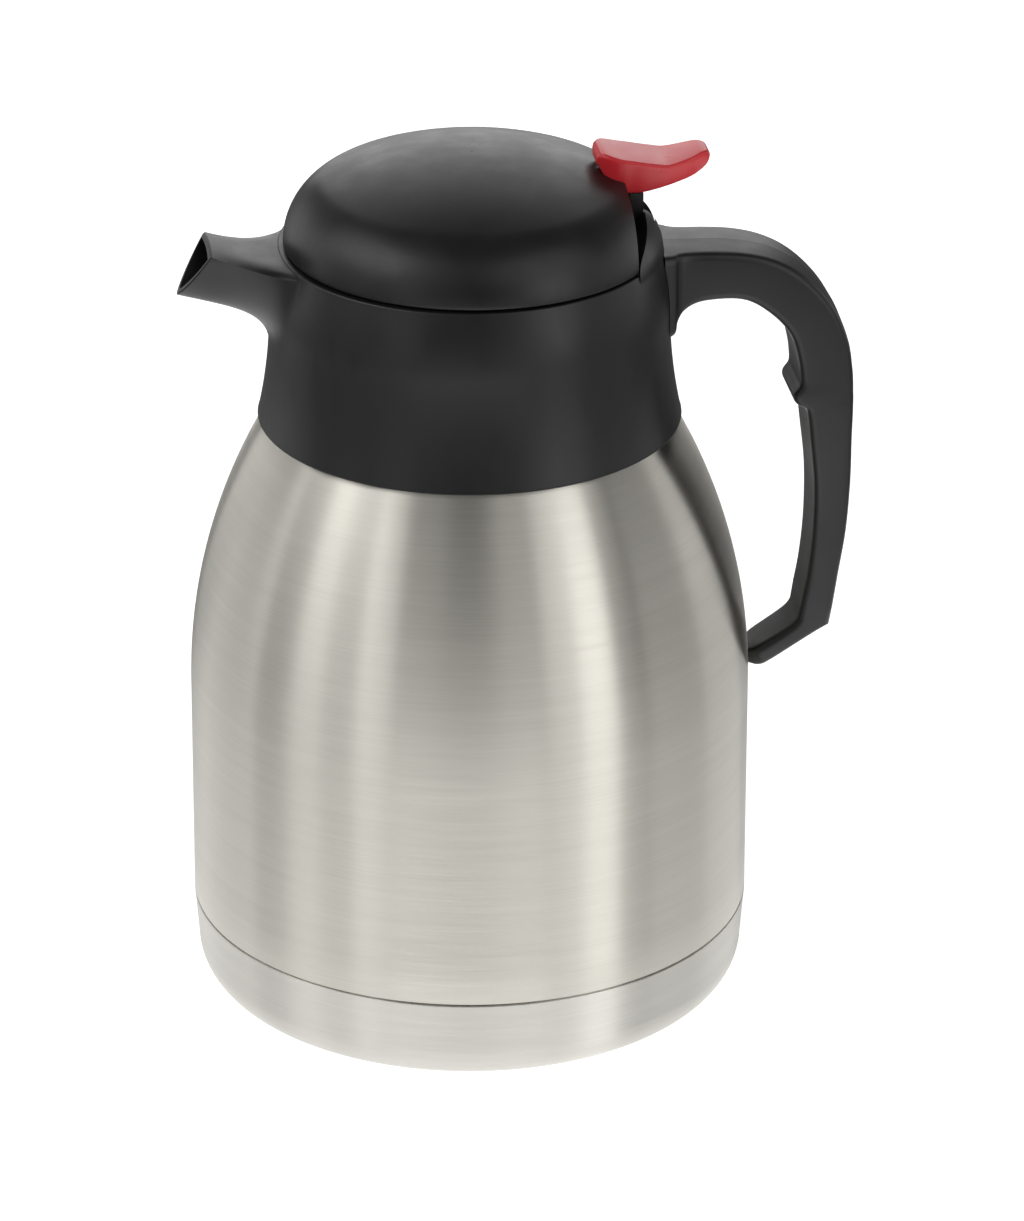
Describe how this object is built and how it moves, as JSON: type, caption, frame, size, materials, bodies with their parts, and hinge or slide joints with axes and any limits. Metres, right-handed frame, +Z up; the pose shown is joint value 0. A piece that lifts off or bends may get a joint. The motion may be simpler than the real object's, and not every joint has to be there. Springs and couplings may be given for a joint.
{
  "type": "thermal carafe",
  "caption": "Vacuum-insulated steel jug with a black moulded collar, spout and loop handle, and a domed flip lid that tips open on a hinge when its red thumb lever is pressed.",
  "frame": {"origin": "middle of the underside, on the jug's axis, at the surface it stands on", "axes": "+Z up along the jug's axis, +X towards the handle, -X towards the spout, Y along the hinge pin"},
  "size_m": [0.1769, 0.1476, 0.2327],
  "materials": {
    "steel": "brushed round the axis",
    "steel_inner": "satin",
    "hardware": "plain",
    "black": "satin",
    "black_lid": "matt",
    "red": "satin",
    "silicone": "matt",
    "foam": "cellular"
  },
  "bodies": {
    "jug": {"outer_shell": "steel", "inner_flask": "steel_inner", "vacuum_bottom": "steel_inner", "getter": "hardware", "base_cap": "steel", "neck_gasket": "silicone", "neck_ring": "steel_inner", "collar": "black", "handle": "black", "handle_screws": "hardware", "strut_bracket": "steel_inner", "hinge_pin": "hardware"},
    "lid": {"lid_dome": "black_lid", "lid_pan": "black", "lid_screws": "hardware", "stopper": "black", "stopper_foam": "foam", "stopper_seal": "silicone", "stopper_screw": "hardware", "thumb_lever": "red", "lever_screw": "hardware", "torsion_spring": "hardware"}
  },
  "joints": [
    {"name": "lid_hinge", "type": "hinge", "parent": "jug", "child": "lid", "pos_m": [0.0445, 0, 0.2085], "axis": [0, 1, 0], "range_deg": [0, 45], "stiffness_Nm_per_rad": 0.03, "springref_deg": -28.65}
  ]
}
